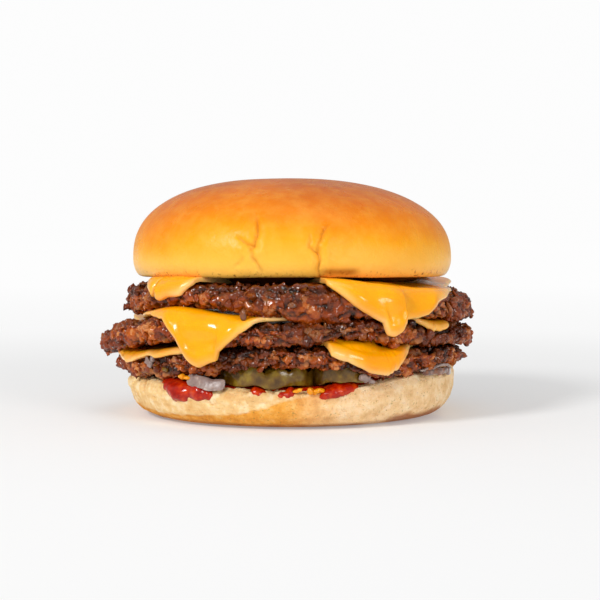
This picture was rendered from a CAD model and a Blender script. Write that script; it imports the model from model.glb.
"""The looks of the triple cheeseburger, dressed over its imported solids.

Millimetres are written as metres, +Z is up and -Y is the side the burger is seen from. Angles round the stack
are in degrees from +X, so the front is 270. Each layer is worked out as arrays and rests on the pile below.
"""

import math

import bpy
import numpy as np
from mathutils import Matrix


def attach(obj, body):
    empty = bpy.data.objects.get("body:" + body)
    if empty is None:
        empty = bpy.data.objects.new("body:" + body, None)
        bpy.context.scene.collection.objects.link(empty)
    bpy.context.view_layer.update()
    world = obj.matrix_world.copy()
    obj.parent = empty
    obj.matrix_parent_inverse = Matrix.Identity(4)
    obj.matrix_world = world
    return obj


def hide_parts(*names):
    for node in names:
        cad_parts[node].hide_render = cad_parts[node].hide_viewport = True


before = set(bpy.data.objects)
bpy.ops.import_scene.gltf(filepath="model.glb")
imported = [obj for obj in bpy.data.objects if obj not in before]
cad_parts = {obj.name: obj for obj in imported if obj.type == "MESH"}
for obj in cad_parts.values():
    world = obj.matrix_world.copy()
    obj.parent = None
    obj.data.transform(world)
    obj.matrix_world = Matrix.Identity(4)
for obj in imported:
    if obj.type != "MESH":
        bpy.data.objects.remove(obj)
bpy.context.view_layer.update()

TAU = 2 * math.pi

# The gap between layers, and the buns' sizes: a few rims lie closer to the real ones than the solids' do
GAP = 0.0003
HEEL_RADIUS = 0.0534
HEEL_MIDDLE = 0.0128
HEEL_SLOPE = 0.035
CROWN_RADIUS = 0.0522
CROWN_TOP = 0.0763
CROWN_WIDEST = 0.0500
CROWN_LEAN = 0.0016
DOME_POWER = 2.35
CROWN_SAG = 0.0035
CROWN_TUCK = 0.945  # the underside's share of the crown's radius
HEEL_RIM = (
    (0, 0.0160), (70, 0.0140), (150, 0.0140), (200, 0.0128), (240, 0.0118), (275, 0.0114), (325, 0.0163),
)
# The heel's section from the cut face's middle to the base's: (share of its radius, share of its rim's
# height, steps from the row before); the cut face's own height holds as far as the lip
HEEL_SECTION = (
    (0, 0, 0), (0.30, 0, 2), (0.50, 0, 3), (0.62, 0, 3), (0.70, 0, 4), (0.76, 0, 4), (0.81, 0, 5),
    (0.86, 0, 6), (0.90, 0, 6), (0.935, 1.0, 8), (0.978, 0.955, 14), (0.997, 0.80, 16), (0.994, 0.55, 24),
    (0.975, 0.32, 20), (0.935, 0.14, 14), (0.885, 0.04, 8), (0.83, 0, 5), (0.5, 0, 4), (0, 0, 3),
)
HEEL_LIP_ROW, HEEL_WIDEST_ROW = 9, 11
# Where crust gives way to torn crumb: a height by angle, seen at the front and carried on round the back
CRUST_BORDER = (
    (0, 0.0125), (60, 0.0105), (120, 0.0100), (180, 0.0070), (205, 0.0035), (225, 0.0028), (245, 0.0042),
    (260, 0.0066), (270, 0.0090), (280, 0.0116), (292, 0.0145), (312, 0.0185), (335, 0.0200),
)
CROWN_RIM = ((0, 0.0446), (90, 0.0452), (180, 0.0444), (270, 0.0455))
HEEL_WOBBLE = ((225, 14, 0.006), (300, 20, -0.006), (30, 20, 0.006), (120, 25, -0.008))
CROWN_WOBBLE = ((215, 20, 0.005), (290, 18, 0.004), (20, 25, -0.004), (140, 30, 0.006))

# The patties: how round their edge is, how far out they stay level, how much a lump below thins them and to
# what, and (degrees, radius, height of the underside, thickness) at the rim
PATTY_EDGE = 0.0036
PATTY_CORE = 0.0300
SQUEEZE = 0.75
THINNEST = 0.0036
EDGE_RADIUS = 0.056  # where the ragged edges' random field is read
GRANULES = 800
PATTIES = (
    {
        "name": "patty_bottom",
        "floor": 0.0156,
        "thickness": 0.0060,
        "seed": 3,
        "rim": (
            (0, 0.0560, 0.0164, 0.0060), (40, 0.0550, 0.0160, 0.0064), (85, 0.0556, 0.0156, 0.0068),
            (130, 0.0546, 0.0160, 0.0064), (170, 0.0560, 0.0150, 0.0058), (188, 0.0572, 0.0142, 0.0056),
            (208, 0.0556, 0.0138, 0.0062), (228, 0.0545, 0.0150, 0.0070), (246, 0.0540, 0.0168, 0.0074),
            (262, 0.0560, 0.0188, 0.0062), (278, 0.0562, 0.0189, 0.0062), (292, 0.0552, 0.0160, 0.0074),
            (304, 0.0550, 0.0146, 0.0074), (322, 0.0556, 0.0175, 0.0060), (343, 0.0548, 0.0178, 0.0050),
        ),
    },
    {
        "name": "patty_middle",
        "floor": 0.0250,
        "thickness": 0.0058,
        "seed": 11,
        "rim": (
            (0, 0.0592, 0.0226, 0.0060), (40, 0.0578, 0.0240, 0.0066), (80, 0.0590, 0.0236, 0.0070),
            (120, 0.0572, 0.0244, 0.0068), (160, 0.0596, 0.0226, 0.0066), (182, 0.0628, 0.0190, 0.0070),
            (196, 0.0604, 0.0218, 0.0080), (214, 0.0590, 0.0243, 0.0077), (230, 0.0580, 0.0262, 0.0082),
            (246, 0.0574, 0.0252, 0.0076), (258, 0.0578, 0.0256, 0.0064), (272, 0.0570, 0.0250, 0.0072),
            (284, 0.0574, 0.0268, 0.0054), (296, 0.0558, 0.0264, 0.0066), (308, 0.0554, 0.0248, 0.0072),
            (324, 0.0562, 0.0240, 0.0054), (342, 0.0588, 0.0234, 0.0056),
        ),
    },
    {
        "name": "patty_top",
        "floor": 0.0344,
        "thickness": 0.0074,
        "seed": 23,
        "rim": (
            (0, 0.0592, 0.0314, 0.0070), (40, 0.0580, 0.0340, 0.0088), (85, 0.0566, 0.0345, 0.0094),
            (130, 0.0556, 0.0342, 0.0090), (170, 0.0540, 0.0334, 0.0086), (198, 0.0536, 0.0328, 0.0080),
            (212, 0.0538, 0.0352, 0.0074), (228, 0.0544, 0.0362, 0.0070), (242, 0.0548, 0.0364, 0.0070),
            (254, 0.0556, 0.0354, 0.0078), (266, 0.0566, 0.0336, 0.0098), (280, 0.0572, 0.0326, 0.0106),
            (291, 0.0572, 0.0334, 0.0090), (302, 0.0580, 0.0346, 0.0062), (320, 0.0584, 0.0326, 0.0070),
            (342, 0.0584, 0.0306, 0.0080),
        ),
    },
)

# The slices: half a side, the angle one side faces, the middle's place, the edge where it is seen from the
# front as (degrees, length along the patty's section), and folds as (degrees, half width, height)
SLICE = 0.0016
SLICE_CLEAR = 0.0006  # between a slice and its patty, whose lumps stand out by as much
CORNER_POWER = 12
EDGE_BLEND = 6  # degrees over which the front's edge goes over into the plain square
SLICES = (
    {
        "name": "cheese_bottom",
        "half": 0.0430,
        "front": 248,
        "shift": (-0.0006, -0.0041),
        "edge": (
            (180.0, 0.0450), (187.0, 0.0520), (192.0, 0.0570), (197.6, 0.0564), (204.0, 0.0571),
            (208.6, 0.0565), (215.2, 0.0545), (223.1, 0.0549), (226.5, 0.0543), (231.6, 0.0537),
            (240.0, 0.0470), (255.0, 0.0370), (272.0, 0.0370), (279.0, 0.0475), (281.0, 0.0545),
            (282.1, 0.0570), (286.9, 0.0578), (290.1, 0.0592), (293.9, 0.0604), (297.9, 0.0607),
            (300.6, 0.0611), (302.0, 0.0604), (303.5, 0.0588), (305.0, 0.0569), (308.0, 0.0547),
            (315.0, 0.0514), (324.0, 0.0480),
        ),
        "folds": ((290, 5, -0.0002), (297, 5, 0.0003)),
    },
    {
        "name": "cheese_middle",
        "half": 0.0425,
        "front": 286,
        "shift": (-0.0037, -0.0089),
        "edge": (
            (196.0, 0.0480), (206.0, 0.0525), (213.0, 0.0553), (220.0, 0.0568), (228.0, 0.0586),
            (231.1, 0.0610), (234.4, 0.0638), (235.8, 0.0659), (237.1, 0.0675), (238.4, 0.0685),
            (240.1, 0.0693), (242.2, 0.0698), (245.9, 0.0683), (247.8, 0.0674), (248.4, 0.0647),
            (250.2, 0.0631), (252.5, 0.0613), (254.6, 0.0595), (258.2, 0.0579), (262.1, 0.0548),
            (268.0, 0.0534), (275.5, 0.0505), (281.0, 0.0480), (290.0, 0.0470), (300.0, 0.0490),
            (311.0, 0.0520), (316.0, 0.0545), (320.6, 0.0556), (321.4, 0.0551), (324.4, 0.0559),
            (329.5, 0.0560), (333.0, 0.0520), (342.0, 0.0470),
        ),
        "folds": ((241, 4, 0.0004), (233, 3, -0.0002), (250, 3, 0.0002)),
    },
    {
        "name": "cheese_top",
        "half": 0.0414,
        "front": 256,
        "shift": (0.0054, -0.0090),
        "edge": (
            (202.0, 0.0470), (211.0, 0.0510), (217.0, 0.0545), (219.9, 0.0558), (220.4, 0.0565),
            (222.1, 0.0537), (222.9, 0.0575), (229.4, 0.0568), (233.1, 0.0563), (236.5, 0.0540),
            (239.0, 0.0470), (243.0, 0.0340), (256.0, 0.0260), (268.0, 0.0260), (276.0, 0.0330),
            (279.5, 0.0470), (280.8, 0.0554), (283.2, 0.0568), (285.9, 0.0589), (288.5, 0.0609),
            (293.1, 0.0635), (297.6, 0.0654), (298.9, 0.0689), (300.8, 0.0693), (302.9, 0.0683),
            (304.0, 0.0661), (305.5, 0.0648), (310.6, 0.0641), (314.0, 0.0632), (318.4, 0.0598),
            (329.5, 0.0564), (332.5, 0.0558), (337.0, 0.0545), (346.0, 0.0520),
        ),
        "folds": ((300.5, 4.0, 0.0005), (291, 5, 0.0003)),
        "crease": (304.6, 0.0013, 10),  # a drop at an angle, and the degrees over which it runs out
    },
)

PICKLE_THICKNESS = 0.0050
CRINKLE_PITCH = 0.0070
CRINKLE_DEPTH = 0.0010

# Toppings that are strips, as (degrees, radius, height) along them
ONION_SLICE = ((233, 0.0528, 0.0148), (238, 0.0538, 0.0140), (243, 0.0540, 0.0132), (248, 0.0532, 0.0132))
ONION_STRAND = (
    (316, 0.0546, 0.0166), (321, 0.0552, 0.0172), (327, 0.0554, 0.0177), (332, 0.0553, 0.0172),
    (336, 0.0550, 0.0160),
)
# Their names, lines, half width and half height, lean outward at the foot, and seeds
ONION_STRIPS = (
    ("onion_slice", ONION_SLICE, (0.0004, 0.0018), 0.0010, 101),
    ("onion_strand", ONION_STRAND, (0.0005, 0.0004), 0, 103),
)
JUICE_FILM = ((317, 0.0544, 0.0158), (324, 0.0548, 0.0160), (331, 0.0548, 0.0158), (338, 0.0542, 0.0144))

# Small lumps, as (x, y in the front view, half width, half height, half depth, radius round the stack)
MUSTARD_DABS = (
    (181, 380, 0.0013, 0.0006, 0.0009, 0.0530), (185, 381, 0.0009, 0.0006, 0.0008, 0.0530),
    (298, 391, 0.0009, 0.0006, 0.0009, 0.0530), (302, 389, 0.0008, 0.0005, 0.0008, 0.0530),
    (312, 391, 0.0009, 0.0008, 0.0009, 0.0530), (317, 392, 0.0012, 0.0008, 0.0010, 0.0530),
    (322, 390, 0.0009, 0.0005, 0.0008, 0.0530),
)
ONION_BITS = (
    (143, 368, 0.0015, 0.0015, 0.0010, 0.0548), (148, 364, 0.0010, 0.0010, 0.0008, 0.0552),
    (367, 379, 0.0018, 0.0011, 0.0009, 0.0536), (372, 382, 0.0012, 0.0008, 0.0008, 0.0536),
)
PICKLE_BITS = ((153, 372, 0.0012, 0.0009, 0.0008, 0.0540), (162, 374, 0.0012, 0.0008, 0.0008, 0.0538))
JUICE_DROPS = ((245, 314, 0.0010, 0.0019, 0.0011, 0.0580), (293, 304, 0.0013, 0.0009, 0.0010, 0.0580))

# The front view: its middle in pixels, its height, its focal length in pixels, and how far off the front is
VIEW_MIDDLE = (292.5, 222)
VIEW_HEIGHT = 0.062
VIEW_FOCAL = 1515
FRONT_DISTANCE = 0.450
PIXEL = 0.000297  # one pixel at that distance

# Ketchup: the skin's length from the heel's middle, and its blobs on the lip: (x, y, half size) in pixels
KETCHUP_RUN = 0.0620
KETCHUP_BLOBS = (
    (165, 384, 8.0), (173, 388, 11.0), (183, 390, 11.0), (178, 397, 7.0), (193, 392, 9.0), (202, 393, 7.0),
    (210, 395, 4.5), (139, 377, 6.0), (254, 388, 6.0), (262, 389, 6.5), (281, 388, 7.0), (291, 389, 6.0),
    (236, 385, 5.0), (358, 377, 8.0), (351, 382, 8.0), (343, 388, 7.0), (334, 392, 6.0), (326, 395, 4.5),
)

# The camera, whose lens and sensor are in millimetres, and the lights: name, width, watts and place
CAMERA_LENS = 90.9
CAMERA_SENSOR = 36
CAMERA_PLACE = (0.0025, -0.500, VIEW_HEIGHT)
CAMERA_DOWN = 2.947  # degrees
LIGHTS = (
    ("key", 0.36, 14.0, (-0.86, -0.95, 0.84)),
    ("fill", 0.50, 5.6, (0.84, -1.08, 0.42)),
    ("top", 0.60, 1.0, (0.10, -0.10, 0.85)),
)


def ease(x):
    """0 below 0, 1 above 1, and the cubic 3x^2 - 2x^3 between."""
    x = np.clip(x, 0, 1)
    return x * x * (3 - 2 * x)


def higher(a, b, blend=0.0004):
    """The greater of two heights, rounded where they cross: half of a + b + the root of gap^2 + blend^2."""
    return (a + b + np.sqrt((a - b) ** 2 + blend**2)) / 2


def round_the_stack(theta, rows, column):
    """A closed smooth curve through the rows' values: cubic, each slope set by the rows on both sides."""
    angle = np.radians([row[0] for row in rows])
    value = np.array([row[column] for row in rows])
    before, after = np.roll(angle, 1), np.roll(angle, -1)
    before[0] -= TAU
    after[-1] += TAU
    slope = (np.roll(value, -1) - np.roll(value, 1)) / (after - before)
    theta = theta % TAU
    left = np.searchsorted(angle, theta, side="right") - 1
    right = (left + 1) % len(rows)
    span = after[left] - angle[left]
    t = (theta - angle[left]) / span
    return (
        value[left] * (1 + 2 * t) * (1 - t) ** 2
        + value[right] * t * t * (3 - 2 * t)
        + slope[left] * span * t * (1 - t) ** 2
        - slope[right] * span * t * t * (1 - t)
    )


def bumps(theta, rows):
    """The sum of bell curves at some angles, each (degrees, half width in degrees, height)."""
    total = np.zeros_like(theta)
    for angle, width, height in rows:
        away = (theta - math.radians(angle) + math.pi) % TAU - math.pi
        total += height * np.exp(-((away / math.radians(width)) ** 2))
    return total


def scatter(cell, seed):
    """Three repeatable random numbers from 0 to 1 for each whole-numbered cell of space."""
    x, y, z = (cell[..., axis].astype(np.int64).astype(np.uint32) for axis in range(3))
    key = x * np.uint32(0x8DA6B343) ^ y * np.uint32(0xD8163841)
    key ^= z * np.uint32(0xCB1AB31F) ^ np.uint32(seed * 7919)
    drawn = []
    for _ in range(3):
        key = (key ^ (key >> np.uint32(15))) * np.uint32(0x2C1B3C6D)
        key = (key ^ (key >> np.uint32(12))) * np.uint32(0x297A2D39)
        drawn.append(key / 2.0**32)
    return np.stack(drawn, axis=-1)


def grains(points, size, seed):
    """Lumps of a size: each point's squared distance to the nearest lump's middle, and that lump's number."""
    scaled = points / size
    cell = np.floor(scaled)
    nearest = np.full(points.shape[:-1], 9.0)
    own = np.zeros(points.shape[:-1])
    for step in np.ndindex(3, 3, 3):
        beside = cell + np.array(step) - 1
        drawn = scatter(beside, seed)
        away = ((beside + drawn - scaled) ** 2).sum(axis=-1)
        closer = away < nearest
        nearest = np.where(closer, away, nearest)
        own = np.where(closer, (drawn[..., 0] * 7.31 + drawn[..., 1] * 3.17) % 1, own)
    return np.clip(nearest, 0, 1), own


def ripple(points, size, seed):
    """Smooth random field from -1 to 1: values at the corners of cells of that size, eased between them."""
    scaled = points / size
    cell = np.floor(scaled)
    share = ease(scaled - cell)
    total = np.zeros(points.shape[:-1])
    for step in np.ndindex(2, 2, 2):
        weight = np.prod(np.where(np.array(step) == 1, share, 1 - share), axis=-1)
        total += weight * scatter(cell + np.array(step), seed)[..., 0]
    return 2 * total - 1


def ripples(points, size, seed):
    """Three ripples at once, as a shift in space."""
    return np.stack([ripple(points, size, seed + axis) for axis in range(3)], axis=-1)


def cartesian(r, theta, z):
    return np.stack(np.broadcast_arrays(r * np.cos(theta), r * np.sin(theta), z), axis=-1)


def angles(count, front=0.0):
    """Angles once round the stack, closer together at the front by the share that is asked for."""
    even = np.arange(count) / count * TAU
    return even - front * np.sin(even - math.radians(270))


def outward(rings):
    """Unit normals of a closed form given as rings from its top to its bottom."""
    down = np.gradient(rings, axis=0)
    along = np.roll(rings, -1, axis=1) - np.roll(rings, 1, axis=1)
    normal = np.cross(down, along)
    normal[0] = (0, 0, 1)
    normal[-1] = (0, 0, -1)
    return normal / (np.linalg.norm(normal, axis=-1, keepdims=True) + 1e-12)


class Pile:
    """The height of everything laid down so far, on a square grid of 1 mm."""

    STEP = 0.001
    HALF = 68

    def __init__(self):
        self.height = np.zeros((2 * self.HALF + 1, 2 * self.HALF + 1))

    def add(self, rings):
        """Takes the highest of the points over each square of the grid."""
        place = np.rint(rings[..., :2] / self.STEP).astype(int) + self.HALF
        np.maximum.at(self.height, (place[..., 0], place[..., 1]), rings[..., 2])

    def surface(self):
        """The heights as they are now: the highest square around each, softened by one."""
        size = 2 * self.HALF + 1
        wide = np.pad(self.height, 2)
        shifts = [(a, b) for a in range(3) for b in range(3)]
        wide = np.max([wide[a : a + size + 2, b : b + size + 2] for a, b in shifts], axis=0)
        return np.mean([wide[a : a + size, b : b + size] for a, b in shifts], axis=0)


def rest_height(surface, r, theta):
    """Height of a pile's surface under points of the plan, between the middles of its squares."""
    across = np.clip(r * np.cos(theta) / Pile.STEP + Pile.HALF, 0, 2 * Pile.HALF - 1.001)
    along = np.clip(r * np.sin(theta) / Pile.STEP + Pile.HALF, 0, 2 * Pile.HALF - 1.001)
    row, column = across.astype(int), along.astype(int)
    u, v = across - row, along - column
    low = surface[row, column] * (1 - v) + surface[row, column + 1] * v
    high = surface[row + 1, column] * (1 - v) + surface[row + 1, column + 1] * v
    return low * (1 - u) + high * u


def linear(code):
    """The linear colour of an sRGB hex code."""
    value = np.array([int(code[i : i + 2], 16) for i in (1, 3, 5)]) / 255
    value = np.where(value <= 0.04045, value / 12.92, ((value + 0.055) / 1.055) ** 2.4)
    return (*value.tolist(), 1.0)


def set_inputs(material, node, inputs):
    """Sets inputs by name or number: another node's output is linked, and a hex code or a number is set."""
    for key, value in inputs.items():
        if isinstance(value, bpy.types.NodeSocket):
            material.node_tree.links.new(value, node.inputs[key])
        else:
            node.inputs[key].default_value = linear(value) if isinstance(value, str) else value


def add_node(material, kind, inputs, output=0, stops=(), **settings):
    """Adds a node with settings, inputs and ramp stops as (position, hex code or grey); gives one output."""
    node = material.node_tree.nodes.new("ShaderNode" + kind)
    for name, value in settings.items():
        setattr(node, name, value)
    set_inputs(material, node, inputs)
    for number, (position, colour) in enumerate(stops):
        entries = node.color_ramp.elements
        entry = entries[number] if number < 2 else entries.new(position)
        entry.position = position
        entry.color = linear(colour) if isinstance(colour, str) else (colour, colour, colour, 1)
    return node.outputs[output]


def new_material(name, finish, *read):
    """A material with this finish on its shader's own inputs, and the points' values that it reads."""
    material = bpy.data.materials.new(name)
    material.use_nodes = True
    shader = material.node_tree.nodes["Principled BSDF"]
    set_inputs(material, shader, finish)
    place = add_node(material, "TexCoord", {}, "Object")
    values = [add_node(material, "Attribute", {}, "Fac", attribute_name=label) for label in read]
    return material, shader, place, values


def patches(material, place, size, detail, roughness, stops=()):
    """Noise whose patches have a size, read as the tones or numbers of a ramp's stops."""
    inputs = {"Vector": place, "Scale": 1 / size, "Detail": detail, "Roughness": roughness}
    field = add_node(material, "TexNoise", inputs)
    return add_node(material, "ValToRGB", {"Fac": field}, stops=stops) if stops else field


def relief(material, place, size, detail, roughness, depth, strength, over=None):
    """Relief of a size and a depth on top of another relief: noise taken as height."""
    height = patches(material, place, size, detail, roughness)
    inputs = {"Height": height, "Distance": depth, "Strength": strength}
    return add_node(material, "Bump", inputs | ({"Normal": over} if over else {}))


def beads(material, place, size, stops, depth, strength):
    """Relief of beads or pores: the distance to the nearest of points a size apart, through a ramp."""
    away = add_node(material, "TexVoronoi", {"Vector": place, "Scale": 1 / size})
    height = add_node(material, "ValToRGB", {"Fac": away}, stops=stops)
    return add_node(material, "Bump", {"Height": height, "Distance": depth, "Strength": strength})


def layered(material, colour, *layers):
    """A colour with others laid over it in turn, each given as shares, which are multiplied, and itself."""
    for *shares, upper in layers:
        share = shares[0]
        for other in shares[1:]:
            share = add_node(material, "Math", {0: share, 1: other}, operation="MULTIPLY")
        colour = add_node(material, "Mix", {0: share, 6: colour, 7: upper}, 2, data_type="RGBA")
    return colour


def crust_material():
    """Baked bun crust, egg washed: deep gold on top to pale gold at the rim, satin, wrinkled and specked."""
    finish = {"IOR": 1.45, "Specular IOR Level": 0.18, "Subsurface Weight": 0.08}
    finish |= {"Subsurface Radius": (0.004, 0.002, 0.0008), "Subsurface Scale": 1.0}
    read = ("browning", "rim_specks", "fold", "toast")
    material, shader, place, values = new_material("baked bun crust", finish, *read)
    browning, rim_specks, fold, toast = values
    # Blotches of 16 mm over the browning, a paler mottle of 4.5 mm, and specks of 1 mm near the rim
    blotch = patches(material, place, 0.016, 4, 0.55)
    level = add_node(material, "Math", {0: blotch, 1: 0.22, 2: browning}, operation="MULTIPLY_ADD")
    tones = ((0.08, "#F4BD60"), (0.27, "#FAB946"), (0.47, "#F6A31A"))
    tones += ((0.66, "#E88406"), (0.84, "#D66E04"), (1.00, "#C05C04"))
    colour = add_node(material, "ValToRGB", {"Fac": level}, stops=tones)
    mottle = patches(material, place, 0.0045, 5, 0.65, ((0.42, 0.0), (0.75, 0.22)))
    speck = patches(material, place, 0.0011, 3, 0.6, ((0.56, 0.0), (0.66, 1.0)))
    colour = layered(material, colour, (mottle, "#FBC65A"), (speck, rim_specks, "#8A4A18"))
    colour = layered(material, colour, (fold, 0.50, "#A05C12"), (toast, "#5A2A0C"))
    wrinkle = relief(material, place, 0.0022, 6, 0.65, 0.00035, 0.55)
    normal = relief(material, place, 0.0006, 2, 0.6, 0.00012, 0.4, wrinkle)
    gloss = patches(material, place, 0.010, 3, 0.55, ((0.3, 0.24), (0.7, 0.36)))
    set_inputs(material, shader, {"Base Color": colour, "Normal": normal, "Roughness": gloss})
    return material


def crumb_material():
    """Cut and torn bun crumb over a pale crust: open pores, cream where torn, gold where crust holds."""
    finish = {"Roughness": 0.78, "IOR": 1.4, "Specular IOR Level": 0.3, "Subsurface Weight": 0.15}
    finish |= {"Subsurface Radius": (0.005, 0.003, 0.0015), "Subsurface Scale": 1.0}
    read = ("crust", "bake", "pale", "pit")
    material, shader, place, values = new_material("bun crumb and base crust", finish, *read)
    crust, bake, paleness, pit = values
    # Torn crumb in patches of 3.5 mm, crust in patches of 4 mm, and small dark pits in the crust
    cream = ((0.30, "#E2AE6C"), (0.50, "#F1CA8C"), (0.70, "#FDE6BC"))
    cream = patches(material, place, 0.0035, 5, 0.6, cream)
    gold = ((0.32, "#D0822A"), (0.50, "#EAA23E"), (0.68, "#F4BE6A"))
    gold = patches(material, place, 0.004, 7, 0.7, gold)
    pale = ((0.32, "#E2B47C"), (0.50, "#F6D09C"), (0.68, "#FFE4C0"))
    pale = patches(material, place, 0.004, 7, 0.7, pale)
    speck = patches(material, place, 0.0009, 1.5, 0.5, ((0.65, 0.0), (0.71, 1.0)))
    baked = layered(material, gold, (paleness, pale))
    layers = ((crust, baked), (pit, 0.7, "#D08A3A"), (bake, "#97481A"), (speck, crust, 0.55, "#9C7A3A"))
    colour = layered(material, cream, *layers)
    pores = beads(material, place, 0.0011, ((0.05, 0.0), (0.35, 1.0)), 0.0003, 0.7)
    normal = relief(material, place, 0.0012, 6, 0.7, 0.0004, 0.9, pores)
    set_inputs(material, shader, {"Base Color": colour, "Normal": normal})
    return material


def beef_material():
    """Ground beef seared on a griddle: brown granules, charred ridges, paler fibres and juices that glint."""
    finish = {"IOR": 1.45, "Specular IOR Level": 0.08}
    finish |= {"Coat Weight": 0.75, "Coat Roughness": 0.09, "Coat Tint": "#FFE2C2"}
    read = ("own", "cavity", "sear", "wet")
    material, shader, place, (own, cavity, sear, wet) = new_material("seared ground beef", finish, *read)
    # Each lump has a brown of its own, varied at 1.6 mm, under char in patches of 3 mm
    vary = patches(material, place, 0.0016, 4, 0.6)
    vary = add_node(material, "Math", {0: vary, 1: 0.45, 2: own}, operation="MULTIPLY_ADD")
    browns = ((0.18, "#280E02"), (0.42, "#5C2606"), (0.66, "#944008"), (0.88, "#BE681E"), (1.00, "#D09058"))
    brown = add_node(material, "ValToRGB", {"Fac": vary}, stops=browns)
    char = patches(material, place, 0.0030, 4, 0.6, ((0.42, "#2A1005"), (0.70, "#5C270A")))
    colour = layered(material, brown, (sear, char), (wet, 0.40, "#8E3F07"), (cavity, "#190A04"))
    rough = add_node(material, "ValToRGB", {"Fac": wet}, stops=((0.0, 0.55), (0.45, 0.28), (1.0, 0.12)))
    # Fibres of 0.7 mm over beads of 0.9 mm, coarser than real ones so that they show
    normal = beads(material, place, 0.0009, ((0.0, 1.0), (0.7, 0.0)), 0.0003, 0.8)
    normal = relief(material, place, 0.0007, 5, 0.65, 0.00025, 0.8, normal)
    film = relief(material, place, 0.0016, 2, 0.55, 0.0004, 0.35)
    inputs = {"Base Color": colour, "Normal": normal, "Roughness": rough, "Coat Normal": film}
    set_inputs(material, shader, inputs)
    return material


def cheese_material():
    """Processed cheese, melted: smooth, waxy, slightly see-through, with an oily shine and dry edges."""
    finish = {"IOR": 1.46, "Specular IOR Level": 0.14, "Coat Weight": 0.52, "Coat Roughness": 0.13}
    finish |= {"Subsurface Weight": 0.25, "Subsurface Scale": 1.0}
    finish |= {"Subsurface Radius": (0.0024, 0.0009, 0.0002)}
    material, shader, place, (dry,) = new_material("melted processed cheese", finish, "dry")
    colour = patches(material, place, 0.012, 3, 0.55, ((0.3, "#F89A00"), (0.7, "#FFAA00")))
    colour = layered(material, colour, (dry, "#FFDFA0"))
    oily = patches(material, place, 0.007, 3, 0.55, ((0.35, 0.16), (0.65, 0.30)))
    sag = relief(material, place, 0.006, 3, 0.5, 0.0004, 0.35)
    set_inputs(material, shader, {"Base Color": colour, "Roughness": oily, "Normal": sag})
    return material


def moist_material(name, finish, size, detail, stops, wave=None, rind=None):
    """A moist topping or sauce: tones in patches, wavelets, and the rind's own tones if it has one.

    The wave is its size, detail, depth and strength, and the rind is its patches' size, detail and stops.
    """
    material, shader, place, values = new_material(name, finish, *(["rind"] if rind else []))
    colour = patches(material, place, size, detail, 0.55, stops)
    if rind:
        rind_tone = patches(material, place, rind[0], rind[1], 0.55, rind[2])
        colour = layered(material, colour, (values[0], rind_tone))
    if wave:
        size, detail, depth, strength = wave
        normal = relief(material, place, size, detail, 0.55, depth, strength)
        set_inputs(material, shader, {"Normal": normal})
    set_inputs(material, shader, {"Base Color": colour})
    return material


def ketchup_material():
    """Tomato ketchup: deep red, wet and glossy, a little see-through where it is thin."""
    finish = {"Roughness": 0.2, "IOR": 1.38, "Specular IOR Level": 0.3}
    finish |= {"Coat Weight": 0.3, "Coat Roughness": 0.04, "Subsurface Weight": 0.04}
    finish |= {"Subsurface Radius": (0.0016, 0.0002, 0.0001), "Subsurface Scale": 1.0}
    reds = ((0.3, "#860C00"), (0.5, "#AC1A00"), (0.7, "#CE3E02"))
    return moist_material("tomato ketchup", finish, 0.0025, 4, reds, (0.0018, 4, 0.0003, 0.45))


def mustard_material():
    """Yellow mustard: opaque, satin and smooth."""
    finish = {"Roughness": 0.3, "IOR": 1.42, "Subsurface Weight": 0.2}
    finish |= {"Subsurface Radius": (0.002, 0.001, 0.0002)}
    yellows = ((0.3, "#E38A06"), (0.7, "#F7A712"))
    return moist_material("yellow mustard", finish, 0.0025, 3, yellows, (0.0012, 3, 0.0002, 0.4))


def juice_material():
    """Brown meat juice: dark amber, clear enough to glow at its edges, and very glossy."""
    finish = {"Roughness": 0.05, "IOR": 1.4, "Coat Weight": 1.0, "Coat Roughness": 0.03}
    finish |= {"Subsurface Weight": 0.1, "Subsurface Radius": (0.0012, 0.0005, 0.0002)}
    return moist_material("meat juice", finish, 0.002, 2, ((0.35, "#4A1E04"), (0.7, "#8A480C")))


def pickle_material():
    """Crinkle-cut dill pickle: olive skin and brownish green flesh, wet and slightly see-through."""
    finish = {"Roughness": 0.24, "IOR": 1.38, "Coat Weight": 0.3, "Coat Roughness": 0.1}
    finish |= {"Subsurface Weight": 0.35, "Subsurface Radius": (0.0020, 0.0024, 0.0006)}
    flesh = ((0.3, "#60400A"), (0.52, "#7A5A0E"), (0.72, "#967C22"))
    rind = (0.004, 3, ((0.34, "#4E3408"), (0.52, "#70500E"), (0.68, "#8C741E")))
    return moist_material("pickled cucumber", finish, 0.005, 2, flesh, (0.0022, 3, 0.0003, 0.35), rind)


def onion_material():
    """Raw onion: watery, pale mauve and half clear, with whiter cut edges."""
    finish = {"Roughness": 0.34, "IOR": 1.34, "Coat Weight": 0.06, "Coat Roughness": 0.12}
    finish |= {"Subsurface Weight": 0.6, "Subsurface Radius": (0.003, 0.0024, 0.0022)}
    mauves = ((0.3, "#86706A"), (0.6, "#A08C84"), (0.8, "#CCBCAC"))
    return moist_material("raw onion", finish, 0.0022, 4, mauves, (0.0018, 3, 0.0002, 0.4))


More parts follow.
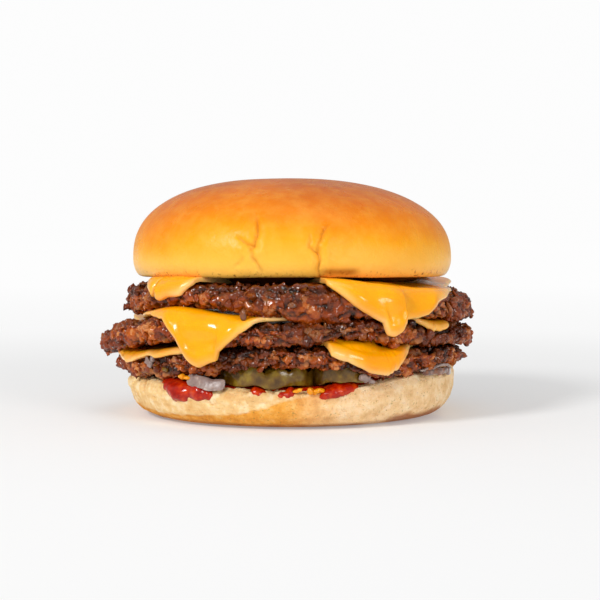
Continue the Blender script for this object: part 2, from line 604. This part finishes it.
def skin(name, forms, material, replaced=(), values=None):
    """Puts closed forms in the scene as one piece of the burger, with the values that its material reads.

    A form is rings of points: quads lie between rings, and fans at the first and last, which are one point.
    """
    forms = forms.reshape(-1, *forms.shape[-3:])
    count, rows, around = forms.shape[:3]
    size = 2 + (rows - 2) * around

    def points_of(field):
        ends = [field[:, end, 0].reshape(count, 1, -1) for end in (0, -1)]
        return np.concatenate([ends[0], field[:, 1:-1].reshape(count, size - 2, -1), ends[1]], axis=1)

    ring = 1 + np.arange(size - 2).reshape(-1, around)
    a, b = ring[:-1], ring[1:]
    first = np.stack([0 * ring[0], ring[0], np.roll(ring[0], -1)], axis=-1)
    quads = np.stack([a, b, np.roll(b, -1, 1), np.roll(a, -1, 1)], axis=-1).reshape(-1, 4)
    last = np.stack([0 * ring[0] + size - 1, np.roll(ring[-1], -1), ring[-1]], axis=-1)
    corners = np.concatenate([first.ravel(), quads.ravel(), last.ravel()])
    corners = corners + size * np.arange(count)[:, None]
    sides = np.tile(np.concatenate([0 * ring[0] + 3, 0 * quads[:, 0] + 4, 0 * ring[0] + 3]), count)
    mesh = bpy.data.meshes.new(name)
    mesh.vertices.add(count * size)
    mesh.vertices.foreach_set("co", points_of(forms).astype(np.float32).ravel())
    mesh.loops.add(corners.size)
    mesh.loops.foreach_set("vertex_index", corners.ravel().astype(np.int32))
    mesh.polygons.add(len(sides))
    mesh.polygons.foreach_set("loop_start", (np.cumsum(sides) - sides).astype(np.int32))
    mesh.update(calc_edges=True)
    for label, field in (values or {}).items():
        field = points_of(np.broadcast_to(field, forms.shape[:3])).astype(np.float32)
        mesh.attributes.new(label, "FLOAT", "POINT").data.foreach_set("value", field.ravel())
    mesh.shade_smooth()
    mesh.materials.append(material)
    piece = bpy.data.objects.new(name, mesh)
    bpy.context.scene.collection.objects.link(piece)
    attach(piece, "root")
    if replaced:
        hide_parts(*replaced)


def heel_radius(theta):
    return HEEL_RADIUS * (1 + bumps(theta, HEEL_WOBBLE))


def heel_top(r, theta):
    """Height of the heel's cut face: a gentle slope in the middle, eased up or down to its rim."""
    slope = HEEL_MIDDLE + HEEL_SLOPE * r * np.sin(theta)
    rim = round_the_stack(theta, HEEL_RIM, 1)
    return slope + (rim - slope) * ease((r - 0.034) / 0.016)


def patty_outline(level, theta):
    """The patty's radius with its ragged edge."""
    seed = PATTIES[level]["seed"]
    place = cartesian(EDGE_RADIUS, theta, seed * 1.0)
    ragged = 0.0007 * ripple(place, 0.009, seed) + 0.0003 * ripple(place, 0.0035, seed + 5)
    return round_the_stack(theta, PATTIES[level]["rim"], 1) + ragged


def patty_body(level, r, theta, surface):
    """A patty's middle height and thickness: level in its core, drooping to the rim, thinner over lumps."""
    patty = PATTIES[level]
    share = ease((r - PATTY_CORE) / (patty_outline(level, theta) - PATTY_CORE))
    full = patty["thickness"] + (round_the_stack(theta, patty["rim"], 3) - patty["thickness"]) * share
    sag = patty["floor"] + (round_the_stack(theta, patty["rim"], 2) - patty["floor"]) * share
    under = higher(sag, rest_height(surface, r, theta) + GAP)
    thickness = np.maximum(full - SQUEEZE * (under - sag), np.minimum(full, THINNEST))
    return under + thickness / 2, thickness


def slice_reach(level, theta):
    """Length along the section to the slice's edge: a soft-cornered square, a power mean of its four sides.

    Where the front's edge is given, a straight line between its rows takes over from the square.
    """
    cheese = SLICES[level]
    total = np.zeros_like(theta)
    for quarter in range(4):
        normal = math.radians(cheese["front"] + 90 * quarter)
        side = cheese["half"] + cheese["shift"][0] * math.cos(normal) + cheese["shift"][1] * math.sin(normal)
        total += np.maximum(np.cos(theta - normal) / side, 0) ** CORNER_POWER
    angle, length = np.array(cheese["edge"]).T
    degrees = np.degrees(theta % TAU)
    seen = ease((degrees - angle[0]) / EDGE_BLEND) * ease((angle[-1] - degrees) / EDGE_BLEND)
    square = total ** (-1 / CORNER_POWER)
    return square + (np.interp(degrees, angle, length) - square) * seen


def patty_profile(level, theta, surface):
    """A patty's section at each angle, from the top's middle over the edge and down: radii and heights."""
    outline = patty_outline(level, theta)[:, None]
    lean = np.radians(np.linspace(90, 0, 12))[None, :]
    flat = (outline - PATTY_EDGE) * np.linspace(0, 1, 30)[None, :-1]
    start = flat.shape[1]
    r = np.concatenate([flat, outline - PATTY_EDGE + PATTY_EDGE * np.cos(lean)], axis=1)
    z, thickness = patty_body(level, r, theta[:, None], surface)
    z[:, :start] += thickness[:, :start] / 2
    z[:, start:] += thickness[:, start:] / 2 * np.sin(lean)
    drop = np.linspace(0.001, 0.03, 16)[None, :]
    r = np.concatenate([r, outline + 0 * drop], axis=1)
    return r, np.concatenate([z, z[:, -1:] - drop], axis=1)


def heel_profile(theta):
    """The heel's section at each angle, from the cut face's middle, over the lip and down the side."""
    radius = heel_radius(theta)[:, None]
    rim = round_the_stack(theta, HEEL_RIM, 1)[:, None]
    flat = 0.935 * radius * np.linspace(0, 1, 26)[None, :]
    side_r = radius * np.array([0.960, 0.978, 0.990, 0.998, 1.0, 1.0, 0.998, 0.994])[None, :]
    side_z = rim * np.array([0.985, 0.958, 0.915, 0.86, 0.80, 0.74, 0.65, 0.55])[None, :]
    z = np.concatenate([heel_top(flat, theta[:, None]), side_z], axis=1)
    return np.concatenate([flat, side_r], axis=1), z


def drape(profile, theta, length, out):
    """Points at a length along a profile and a distance out from it: one row of points for each angle.

    The profiles are laid end to end, so that one interpolation does them all.
    """
    r, z = profile
    dr, dz = np.gradient(r, axis=1), np.gradient(z, axis=1)
    size = np.hypot(dr, dz) + 1e-12
    steps = np.hypot(np.diff(r), np.diff(z))
    along = np.concatenate([np.zeros((len(r), 1)), np.cumsum(steps, axis=1)], axis=1)
    start = (np.arange(len(r)) * 1.0)[:, None]
    at = np.clip(length, 0, along[:, -1:]) + start
    found = [np.interp(at, (along + start).ravel(), field.ravel()) for field in (r, z, dz / size, dr / size)]
    radius = found[0] - found[2] * out
    height = found[1] + found[3] * out
    return cartesian(radius, theta[:, None], height)


def smooth_through(at, places, values):
    """A curve through values at some places: straight between them, then a running mean of five."""
    line = np.interp(at, places, values)
    wide = np.pad(line, 2, mode="edge")
    soft = np.mean([wide[shift : shift + len(line)] for shift in range(5)], axis=0)
    return np.where((at < 2) | (at > at[-1] - 3), line, soft)


def build_heel(pile, material):
    """The heel: rings from the cut face's middle over a soft, torn lip and down the side to the flat base."""
    theta = angles(480, 0.40)[None, :]
    share, rise, steps = np.array(HEEL_SECTION).T
    steps = steps.cumsum()
    lip, widest = steps[HEEL_LIP_ROW], steps[HEEL_WIDEST_ROW]
    step = np.arange(steps[-1] + 1)
    share = smooth_through(step, steps, share)[:, None]
    rise = smooth_through(step, steps, rise)[:, None]
    step = step[:, None]
    r = heel_radius(theta) * share
    rim = round_the_stack(theta, HEEL_RIM, 1)
    z = np.maximum(np.where(step <= lip, heel_top(r, theta), rim * rise), 0)
    rings = cartesian(r, theta, z)
    normal = outward(rings)
    height = rings[..., 2]
    # Crust below the border, torn crumb above it and on the cut face
    border = round_the_stack(theta, CRUST_BORDER, 1)
    ragged = 0.0007 * ripple(rings, 0.004, 71) + 0.0004 * ripple(rings, 0.0015, 72)
    crust = np.where((step < widest) & (share < 0.93), 0, ease((border + ragged - height) / 0.0009 + 0.5))
    torn = (1 - crust) * ease((height - 0.002) / 0.002)
    # Relief: lumps of 3 mm and bits of 1.4 mm, deepest near the lip
    lumps = 1 - grains(rings + 0.0006 * ripples(rings, 0.003, 75), 0.0030, 73)[0]
    bits = 1 - grains(rings, 0.0014, 74)[0]
    near_lip = ease((height - border) / 0.004) * ease((share - 0.80) / 0.1)
    near_lip = near_lip * ease((height - 0.45 * rim) / 0.004)
    depth = torn * (0.0009 * lumps + 0.0006 * bits - 0.0005) * (0.15 + near_lip)
    pit = torn * (1 - ease((0.6 * lumps + 0.4 * bits - 0.15) / 0.5)) * (0.15 + 0.85 * near_lip)
    depth += 0.00018 * crust * ripple(rings, 0.005, 76)
    depth = np.where(height < 0.0006, 0, depth)
    rings = rings + normal * depth[..., None]
    rings[..., 2] = np.maximum(rings[..., 2], 0)
    # Baking: a thin dark line along the base, a stain low at the right, a little warmth under the sauce
    low = rings[..., 2]
    bake = 0.8 * ease((0.0021 - low) / 0.0012) * (0.75 + 0.35 * ripple(rings, 0.006, 77))
    stain = ease((0.0036 - low + 0.001 * ripple(rings, 0.004, 79)) / 0.0016)
    stain = stain * ease((np.cos(theta - math.radians(325)) - 0.93) / 0.04)
    warm = ease((np.cos(theta - math.radians(276)) - 0.80) / 0.12) * ease((height - 0.0075) / 0.002)
    bake = np.maximum(np.maximum(bake, 0.8 * stain), 0.13 * warm)
    pale = ease((np.cos(theta - math.radians(335)) - 0.35) / 0.4) + 0 * height
    pale = np.maximum(pale, 0.35 * ease((height - 0.008) / 0.004))
    pile.add(rings)
    values = {"crust": crust, "bake": np.clip(bake, 0, 1), "pale": pale, "pit": pit}
    skin("bun_heel_baked", rings, material, ["bun_heel"], values)


def px(x, y):
    """Where a point of the front view lies, in metres: x across and z up, for the front's distance."""
    scale = FRONT_DISTANCE / VIEW_FOCAL
    return ((x - VIEW_MIDDLE[0]) * scale, VIEW_HEIGHT - (y - VIEW_MIDDLE[1]) * scale)


# Creases of the crown's front, each as (x, z, force) points in metres
CREASES = tuple(
    tuple((*px(x, y), force) for x, y, force in line)
    for line in (
        ((257.4, 214, 0.2), (257.6, 222, 1.0), (258.7, 232, 1.0), (254.7, 246, 0.9), (251, 250, 0.5)),
        ((236, 235, 0.1), (243, 241, 0.6), (252, 246, 0.7), (255, 246, 0.6)),
        ((251, 249, 0.5), (256.7, 260, 0.9), (261.4, 271, 0.5), (262, 276, 0.2)),
        ((236, 268, 0.1), (238.7, 264.5, 0.4), (244, 258, 0.2)),
        ((331, 225, 0.2), (326, 230, 0.8), (321.5, 236, 0.8), (320, 244, 0.6), (320, 254, 0.8)),
        ((311, 234, 0.3), (312, 246, 0.6), (320, 254, 0.9), (321, 266, 1.0), (320, 276, 0.5)),
    )
)


def crease_depth(rings):
    """How deep the crown's front is creased, and how strong the fold's colour is there.

    Across a crease's line the depth is a narrow and a wide bell curve less a swell beside them. The line
    wanders a little, and the force runs straight from point to point.
    """
    flat = rings[..., [0, 2]]
    flat = flat + 0.0005 * np.stack([ripple(rings, 0.003, 83), ripple(rings, 0.003, 84)], axis=-1)
    flat += 0.00025 * np.stack([ripple(rings, 0.0012, 86), ripple(rings, 0.0012, 87)], axis=-1)
    front = ease((-rings[..., 1] - 0.015) / 0.01)
    depth, fold = np.zeros(flat.shape[:-1]), np.zeros(flat.shape[:-1])
    for line in CREASES:
        near = np.full(flat.shape[:-1], 1.0)
        force = np.zeros(flat.shape[:-1])
        for (ax, az, af), (bx, bz, bf) in zip(line, line[1:]):
            a, step = np.array((ax, az)), np.array((bx - ax, bz - az))
            t = np.clip(((flat - a) @ step) / (step @ step), 0, 1)
            away = np.linalg.norm(flat - a - t[..., None] * step, axis=-1)
            force = np.where(away < near, af + (bf - af) * t, force)
            near = np.minimum(near, away)
        cut = 0.00070 * np.exp(-((near / 0.00048) ** 2)) + 0.00036 * np.exp(-((near / 0.0015) ** 2))
        swell = 0.00022 * np.exp(-(((near - 0.0024) / 0.0013) ** 2))
        depth += front * force * (cut - swell)
        fold = np.maximum(fold, front * force * np.exp(-((near / 0.00038) ** 2)))
    return depth, fold


def build_crown(surface, material):
    """The crown: a superellipse dome, a rounded rim, an underside that settles on the stack, and creases."""
    theta = angles(460, 0.60)[None, :]
    dome = np.radians(np.concatenate([np.linspace(0, 60, 60), np.linspace(60, 90, 52)[1:]]))
    tuck = np.linspace(0, 1, 40)[1:] * math.pi / 2
    under = np.linspace(CROWN_TUCK, 0, 20)[1:]
    rim_share = CROWN_TUCK + (1 - CROWN_TUCK) * np.cos(tuck) ** 0.9
    share = np.concatenate([np.sin(dome) ** (2 / DOME_POWER), rim_share, under])[:, None]
    up = np.concatenate([np.cos(dome) ** (2 / DOME_POWER), 0 * tuck, 0 * under])[:, None]
    down = np.concatenate([0 * dome, np.sin(tuck) ** 1.15, 1 + 0 * under])[:, None]
    beneath = down >= 0.999
    r = CROWN_RADIUS * share * (1 + bumps(theta, CROWN_WOBBLE))
    rim = round_the_stack(theta, CROWN_RIM, 1)
    z = CROWN_WIDEST + (CROWN_TOP - CROWN_WIDEST) * up - (CROWN_WIDEST - rim) * down
    settled = higher(rim - CROWN_SAG + 0 * r, rest_height(surface, r, theta) + GAP)
    z = z + (settled - z) * beneath * ease((0.88 - share) / 0.08)
    rings = cartesian(r, theta, z)
    rings[..., 0] -= CROWN_LEAN * np.clip((z - CROWN_WIDEST) / (CROWN_TOP - CROWN_WIDEST), 0, 1) ** 2
    crease, fold = crease_depth(rings)
    depth = 0.00022 * ripple(rings, 0.022, 81) + 0.00010 * ripple(rings, 0.009, 82) - crease
    rings = rings + outward(rings) * (depth * ~beneath)[..., None]
    # Browning: by height, paler low at both sides, darker on the right shoulder and the left flank
    height = (rings[..., 2] - 0.0445) / (CROWN_TOP - 0.0445)
    browning = 0.08 + 0.76 * np.clip(height, 0, 1) ** 1.1
    browning -= 0.10 * np.abs(np.cos(theta)) ** 3 * ease((0.40 - height) / 0.4)
    browning += 0.10 * ease((np.cos(theta - math.radians(318)) - 0.5) / 0.4) * ease((height - 0.2) / 0.3)
    browning += 0.12 * ease((np.cos(theta - math.radians(192)) - 0.6) / 0.35) * ease((height - 0.12) / 0.2)
    # Specks along the rim, and a short scorched smudge on it at the front
    specks = ease((0.0485 - rings[..., 2]) / 0.003) * (0.35 + 0.65 * ease(ripple(rings, 0.010, 85) + 0.6))
    smudge = ease((np.cos(theta - math.radians(286)) - 0.990) / 0.008)
    smudge = smudge * np.exp(-(((rings[..., 2] - 0.0472) / 0.0011) ** 2))
    values = {
        "browning": np.where(beneath, 1, browning),
        "rim_specks": np.where(beneath, 0, specks + 0.4 * smudge),
        "fold": np.maximum(fold, 1.6 * smudge),
        "toast": beneath * ease((0.93 - share) / 0.04),
    }
    skin("bun_crown_baked", rings, material, ["bun_crown"], values)


def build_patty(level, surface, pile, material):
    """A smashed patty: top, blunt ragged edge and underside as one closed form, cut into lumps and granules.

    Each size of lump takes its depth times the squared distance to the nearest lump's middle off the form.
    """
    name, seed = PATTIES[level]["name"], PATTIES[level]["seed"]
    theta = angles(960, 0.30)[None, :]
    inner = np.concatenate([np.linspace(0, 0.72, 5)[:-1], np.linspace(0.72, 1, 19)])
    below = inner[::-1][::2]
    edge = np.linspace(90, -90, 34)[1:-1]
    lean = np.radians(np.concatenate([0 * inner + 90, edge, 0 * below - 90]))[:, None]
    share = np.concatenate([inner, 0 * edge + 1, below])[:, None]
    r = (patty_outline(level, theta) - PATTY_EDGE) * share + PATTY_EDGE * np.cos(lean)
    middle, thickness = patty_body(level, r, theta, surface)
    plain = cartesian(r, theta, middle + thickness / 2 * np.sin(lean))
    pile.add(plain)
    normal = outward(plain)
    bent = plain + 0.0011 * ripples(plain, 0.0045, seed + 30) + 0.0004 * ripples(plain, 0.0018, seed + 40)
    longer = bent * np.array((0.75, 0.75, 1.15))
    lump, _ = grains(longer, 0.0068, seed + 1)
    piece, own = grains(longer, 0.0027, seed + 2)
    grain, tint = grains(bent, 0.0014, seed + 3)
    crumb, _ = grains(plain, 0.0009, seed + 4)
    smooth_front = 0.0
    if level == 2:
        smooth_front = 0.6 * ease((np.cos(theta - math.radians(270)) - 0.55) / 0.35)
    depth = 0.0018 * lump + 0.0022 * piece * (1 - 0.4 * smooth_front)
    depth += (0.0013 * grain + 0.0005 * crumb) * (1 - smooth_front)
    # The edge's underside swells a little, so that its lumps sink into what lies below
    swell = 0.0011 + 0.0006 * ease(-np.sin(lean) / 0.6) * ease((r - 0.046) / 0.006)
    near_edge = 0.12 + 0.88 * ease((r - 0.043) / 0.008)
    rings = plain - normal * ((depth - swell) * near_edge)[..., None]
    cavity = ease((0.45 * lump + 0.85 * piece + 0.60 * grain - 0.38) / 0.65)
    sear = ease((ripple(rings, 0.010, seed + 6) + 0.35 * ripple(rings, 0.004, seed + 7) + 0.05) / 0.7)
    sear = sear * 0.6 + 0.55 * ease((np.sin(lean) - 0.25) / 0.5)
    sear = np.clip(sear + 0.9 * smooth_front * ease((np.sin(lean) + 0.1) / 0.5), 0, 1)
    wet = ease((ripple(rings, 0.0085, seed + 8) + 0.3 * ripple(rings, 0.003, seed + 9) + 0.15) / 0.6)
    wet = np.maximum(wet, 1.5 * smooth_front)
    own = np.clip(0.65 * own + 0.35 * tint, 0, 1)
    values = {"own": own, "cavity": 0.97 * cavity, "sear": sear, "wet": wet}
    add_granules(name, rings, normal, values, seed, material)
    skin(name + "_seared", rings, material, [name], values)


def add_granules(name, rings, normal, values, seed, material):
    """Loose granules on a patty's rim: small lumpy balls, each turned at random and half sunk in the meat."""
    number = np.arange(GRANULES)[:, None]
    draw = scatter(number * np.array((1, 3, 7)), seed + 60)
    more = scatter(number * np.array((5, 2, 1)), seed + 61)
    third = scatter(number * np.array((2, 9, 4)), seed + 62)
    row = (12 + draw[:, 0] * 44).astype(int)  # the rows of the patty's form that make its rim
    column = (draw[:, 1] * rings.shape[1]).astype(int)
    size = 0.00040 + 0.0008 * draw[:, 2] ** 3
    centre = rings[row, column] + normal[row, column] * (size * (0.6 * more[:, 0] - 0.45))[:, None]
    first = more - 0.5 + 0.01
    first /= np.linalg.norm(first, axis=1, keepdims=True)
    second = np.cross(first, third - 0.5)
    second /= np.linalg.norm(second, axis=1, keepdims=True) + 1e-9
    turn = np.stack([first, second, np.cross(first, second)], axis=1)
    scale = size[:, None] * (0.5 + 1.3 * np.stack([third[:, 0], third[:, 1], more[:, 2]], axis=1) ** 1.5)
    forms = np.einsum("abk,nk,nkj->nabj", ball(6, 7), scale, turn) + centre[:, None, None, :]
    forms += ripples(forms, 0.0008, seed + 63) * (size * 0.8)[:, None, None, None]
    own = {label: field[row, column] for label, field in values.items()}
    own["own"] = 0.5 * own["own"] + 0.5 * third[:, 2]
    own["cavity"] = 0.5 * own["cavity"]
    own = {label: field[:, None, None] for label, field in own.items()}
    skin(name + "_granules", forms, material, values=own)


def ball(rows, around):
    """A ball of radius 1 as rings of points from its top to its bottom."""
    u = np.linspace(0, math.pi, rows)[:, None]
    return cartesian(np.sin(u), angles(around)[None, :], np.cos(u))


def build_slice(level, surface, pile, material):
    """A melted slice: out along its patty's section and a little above it, round a soft edge, and back."""
    cheese = SLICES[level]
    theta = angles(700, 0.45)
    place = cartesian(EDGE_RADIUS, theta, level * 1.0)
    reach = slice_reach(level, theta) + 0.0003 * ripple(place, 0.006, 51) + 0.0002 * ripple(place, 0.0025, 52)
    reach = reach[:, None]
    inner = np.concatenate([np.linspace(0, 0.7, 9)[:-1], np.linspace(0.7, 1, 36)])[None, :]
    below = inner[:, ::3][:, ::-1]
    arc = np.radians(np.linspace(90, -90, 13))[None, 1:-1]
    bead = SLICE / 2
    plain = reach - bead
    length = np.concatenate([plain * inner, plain + bead * np.cos(arc), plain * below], axis=1)
    lift = np.concatenate([SLICE + 0 * inner, bead + bead * np.sin(arc), 0 * below], axis=1) + SLICE_CLEAR
    rings = drape(patty_profile(level, theta, surface), theta, length, lift).transpose(1, 0, 2)
    normal = outward(rings)
    length, reach, lift = length.T, reach.T, lift.T
    # The upper side sags unevenly, folds and swells to a bead near the edge, and only where it hangs free
    hanging = ease((length - patty_outline(level, theta)[None, :] + 0.004) / 0.006)
    soft = 0.00030 * ripple(rings, 0.007, 53 + level) + 0.00045 * ripple(rings, 0.013, 57 + level)
    soft += bumps(theta, cheese["folds"])[None, :] * hanging
    soft += 0.00070 * np.exp(-(((length - reach + 0.0024) / 0.0018) ** 2)) * hanging
    if "crease" in cheese:
        middle, drop, run = cheese["crease"]
        past = np.degrees(theta)[None, :] - middle
        soft -= drop * ease(past / 0.7 + 0.5) * np.exp(-((np.maximum(past, 0) / run) ** 2)) * hanging
    rings = rings + normal * (soft * (lift > SLICE_CLEAR + 0.0002))[..., None]
    dry = np.exp(-(((length - reach) / 0.0011) ** 2)) * (0.35 + 0.65 * ease(ripple(rings, 0.008, 60) + 0.4))
    pile.add(rings)
    values = {"dry": np.clip(dry * 0.55, 0, 1)}
    skin(cheese["name"] + "_melted", rings, material, [cheese["name"]], values)


def build_ketchup(pile, material):
    """Ketchup: a skin over the heel from its middle to below its lip, thick where the blobs are, else sunk.

    The blobs add up as bell curves of the front view, and the thickness goes as the root of their sum.
    """
    theta = angles(480, 0.6)
    profile = heel_profile(theta)
    share = np.concatenate([np.linspace(0, 0.76, 8)[:-1], np.linspace(0.76, 1, 42)])[None, :]
    length = KETCHUP_RUN * share + 0 * theta[:, None]
    base = drape(profile, theta, length, 0 * length)
    normal = (drape(profile, theta, length, 0 * length + 0.001) - base) / 0.001
    flat = base[..., [0, 2]]
    flat = flat + 0.0007 * np.stack([ripple(base, 0.0028, seed) for seed in (91, 92)], axis=-1)
    flat += 0.0003 * np.stack([ripple(base, 0.0011, seed) for seed in (95, 96)], axis=-1)
    field = np.zeros(length.shape)
    for x, y, size in KETCHUP_BLOBS:
        away = ((flat - np.array(px(x, y))) ** 2).sum(axis=-1)
        field += np.exp(-away / (size * PIXEL) ** 2)
    field *= ease((-base[..., 1] - 0.02) / 0.006)
    reach = 0.0495 + 0.0012 * ripple(cartesian(0.05, theta, 0.0), 0.010, 93)[:, None]
    inside = ease((reach - length) / 0.003 + 0.5)
    blobs = (0.0026 + 0.0005 * ripple(base, 0.0028, 94)) * np.sqrt(np.clip((field - 0.25) / 1.2, 0, 1))
    lift = np.maximum(blobs, 0.0016 * inside) - 0.0005
    rings = np.concatenate([base + normal * lift[..., None], (base - normal * 0.0009)[:, ::-1]], axis=1)
    rings = rings.transpose(1, 0, 2)
    rings[0], rings[-1] = rings[0].mean(axis=0), rings[-1].mean(axis=0)
    pile.add(rings)
    skin("ketchup_sauce", rings, material, ["ketchup"])


def build_blob(name, lumps, material, replaced=(), seed=0, lumpy=0.6):
    """Small lumps of a topping or sauce: flattened balls, uneven, and turned to face outward."""
    forms = []
    for number, (x, y, wide, tall, thick, radius) in enumerate(lumps):
        across, height = px(x, y)
        depth = -math.sqrt(radius**2 - across**2)
        form = ball(22, 32) * np.array((wide, thick, tall))
        form = form * (1 + lumpy * ripple(form + number * 0.01, 0.0011, seed)[..., None])
        turn = math.atan2(across, -depth)
        x_new = form[..., 0] * math.cos(turn) - form[..., 1] * math.sin(turn)
        y_new = form[..., 0] * math.sin(turn) + form[..., 1] * math.cos(turn)
        forms.append(np.stack([x_new + across, y_new + depth, form[..., 2] + height], axis=-1))
    skin(name, np.array(forms), material, replaced)


def build_pickle(name, radius, place, turn, phase, surface, pile, material):
    """A crinkle-cut chip: its upper face follows rounded ridges, depth (2 |cos(pi u / pitch)| - 1)."""
    theta = angles(240)[None, :]
    arc = np.radians(np.linspace(90, -90, 16))[1:-1]
    flat = np.linspace(0, 0.97, 26)
    share = np.concatenate([flat, 0.97 + 0.03 * np.cos(arc), flat[::-1]])[:, None]
    side = np.concatenate([0 * flat + 1, np.sin(arc), 0 * flat - 1])[:, None]
    r = radius * share * (1 + 0.03 * np.sin(3 * theta + turn))
    ridge = 2 * np.abs(np.cos(math.pi * (r * np.cos(theta) / CRINKLE_PITCH + phase))) - 1
    x = place[0] + r * np.cos(theta + turn)
    y = place[1] + r * np.sin(theta + turn)
    z = rest_height(surface, np.hypot(x, y), np.arctan2(y, x)) + GAP + PICKLE_THICKNESS / 2 * (1 + side)
    rings = np.stack([x, y, z + CRINKLE_DEPTH * ridge * (0.6 + 0.4 * side)], axis=-1)
    rings = rings + outward(rings) * (0.00015 * ripple(rings, 0.002, 31))[..., None]
    pile.add(rings)
    skin(name + "_crinkled", rings, material, [name], {"rind": ease((share - 0.90) / 0.08)})


def build_strip(name, line, half, lean, material, replaced=(), seed=0):
    """A soft strip along a line of (degrees, radius, height): oval across, down to nothing at its ends."""
    t = np.linspace(0, 1, 60)
    where = t * (len(line) - 1)
    angle, radius, height = (np.interp(where, range(len(line)), column) for column in np.array(line).T)
    full = np.sqrt(np.clip(1 - np.abs(2 * t - 1) ** 8, 0, 1))[:, None]
    v = angles(20)[None, :]
    up = half[1] * full * np.sign(np.sin(v)) * np.abs(np.sin(v)) ** 0.6
    out = half[0] * full * np.cos(v) - lean * np.sin(v) * full
    rings = cartesian(radius[:, None] + out, np.radians(angle)[:, None], height[:, None] + up)
    uneven = 0.0004 * ripples(rings, 0.0034, seed) + 0.00012 * ripples(rings, 0.001, seed + 9)
    skin(name, rings + uneven * full[..., None], material, replaced)


def add_floor():
    """A floor of matt white paper that fades to the light behind it, so that no edge of it shows."""
    mesh = bpy.data.meshes.new("floor")
    around = angles(96)
    mesh.from_pydata(cartesian(4.0, around, -0.0002).tolist(), [], [list(range(len(around)))])
    floor = bpy.data.objects.new("floor", mesh)
    bpy.context.scene.collection.objects.link(floor)
    finish = {"Base Color": "#F6F6F6", "Roughness": 0.9, "Specular IOR Level": 0.15}
    material, shader, place, _ = new_material("matt white paper", finish)
    far = add_node(material, "VectorMath", {0: place}, "Value", operation="LENGTH")
    fade = {"Value": far, "From Min": 0.05, "From Max": 0.42, "To Min": 0.26}
    fade = add_node(material, "MapRange", fade, interpolation_type="SMOOTHSTEP")
    glow = add_node(material, "ValToRGB", {"Fac": far}, stops=((0.15, "#F6F6F6"), (1.0, "#FDFDFD")))
    glow = add_node(material, "Emission", {"Color": glow})
    paper = add_node(material, "MixShader", {0: fade, 1: shader.outputs[0], 2: glow})
    set_inputs(material, material.node_tree.nodes["Material Output"], {"Surface": paper})
    mesh.materials.append(material)


def add_light(name, size, power, place):
    """A round soft light that faces the middle of the burger."""
    light = bpy.data.lights.new(name, "AREA")
    light.shape = "DISK"
    light.size = size
    light.energy = power
    lamp = bpy.data.objects.new(name, light)
    bpy.context.scene.collection.objects.link(lamp)
    lamp.location = place
    way = np.array(place) - np.array((0, 0, 0.03))
    way = way / np.linalg.norm(way)
    lamp.rotation_euler = (math.acos(way[2]), 0, math.atan2(way[0], -way[1]))


def add_studio():
    """White tent light all round, a soft key from the front left and above, and the camera at the front."""
    world = bpy.data.worlds.new("light tent")
    bpy.context.scene.world = world
    world.use_nodes = True
    # The tent looks white behind the burger and lights it with less
    path = add_node(world, "LightPath", {}, "Is Camera Ray")
    strength = add_node(world, "MapRange", {"Value": path, "To Min": 0.44, "To Max": 0.98})
    set_inputs(world, world.node_tree.nodes["Background"], {"Color": "#FFFFFF", "Strength": strength})
    for light in LIGHTS:
        add_light(*light)
    camera_data = bpy.data.cameras.new("camera")
    camera_data.lens = CAMERA_LENS
    camera_data.sensor_width = CAMERA_SENSOR
    camera_data.clip_start = 0.01
    camera = bpy.data.objects.new("camera", camera_data)
    bpy.context.scene.collection.objects.link(camera)
    camera.location = CAMERA_PLACE
    camera.rotation_euler = (math.radians(90 - CAMERA_DOWN), 0, 0)
    bpy.context.scene.camera = camera
    bpy.context.scene.view_settings.view_transform = "Standard"
    bpy.context.scene.view_settings.look = "None"


def main():
    pile = Pile()
    beef, cheese, juice = beef_material(), cheese_material(), juice_material()
    pickle, onion, mustard = pickle_material(), onion_material(), mustard_material()
    build_heel(pile, crumb_material())
    build_ketchup(pile, ketchup_material())
    surface = pile.surface()
    build_pickle("pickle_left", 0.0168, (-0.0068, -0.0350), math.radians(20), 0.46, surface, pile, pickle)
    build_pickle("pickle_right", 0.0092, (0.0150, -0.0412), math.radians(-25), 0.0, surface, pile, pickle)
    for name, line, half, lean, seed in ONION_STRIPS:
        build_strip(name + "_raw", line, half, lean, onion, [name], seed)
    build_blob("mustard_dabs", MUSTARD_DABS, mustard, ["mustard"], 105, 0.9)
    build_blob("onion_bits", ONION_BITS, onion, seed=107)
    build_blob("pickle_bits", PICKLE_BITS, pickle, seed=109)
    build_strip("meat_juice_film", JUICE_FILM, (0.0008, 0.0012), 0, juice, seed=111)
    build_blob("meat_juice_drops", JUICE_DROPS, juice, seed=113, lumpy=0.15)
    for level in range(len(PATTIES)):
        surface = pile.surface()
        build_patty(level, surface, pile, beef)
        build_slice(level, surface, pile, cheese)
    build_crown(pile.surface(), crust_material())
    add_floor()
    add_studio()


main()
